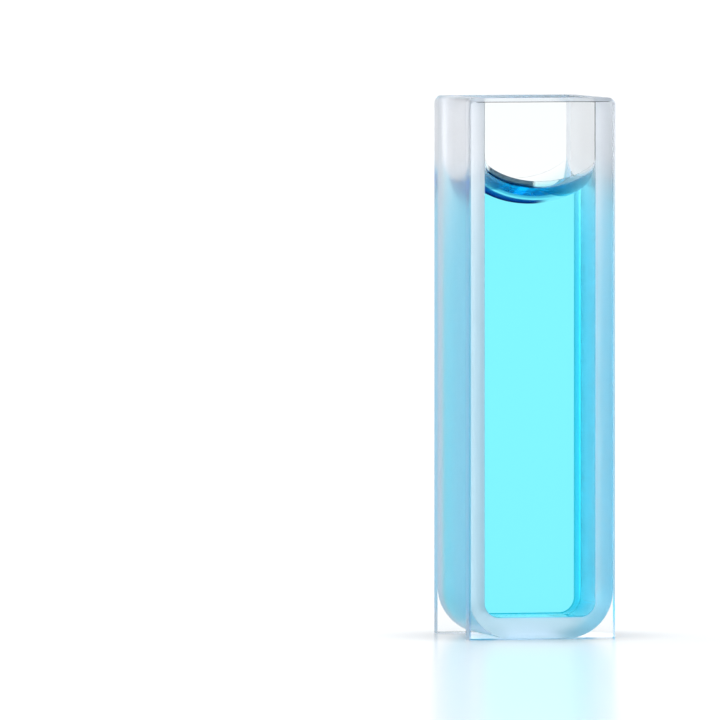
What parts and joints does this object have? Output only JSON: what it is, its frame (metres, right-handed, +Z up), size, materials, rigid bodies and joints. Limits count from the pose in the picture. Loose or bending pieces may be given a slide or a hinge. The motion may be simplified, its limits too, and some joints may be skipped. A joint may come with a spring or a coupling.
{
  "type": "cuvette",
  "caption": "Square optical cuvette with a 10 mm light path: polished windows fused to a U-shaped ground-glass frame, open at the top and nearly full of clear cyan liquid.",
  "frame": {"origin": "centre of the cell's underside", "axes": "+Z up out of the open mouth, Y along the light path with the front window facing -Y, X across the windows"},
  "size_m": [0.0126, 0.0126, 0.045],
  "materials": {
    "frosted_glass": "ground and fused glass, finely frosted, pale blue-grey",
    "window_glass": "polished clear optical glass, edges finely ground",
    "cyan_sample": "clear water-like liquid, bright cyan"
  },
  "bodies": {
    "root": {"frosted_frame": "frosted_glass", "front_window": "window_glass", "rear_window": "window_glass", "sample_liquid": "cyan_sample"}
  },
  "joints": []
}
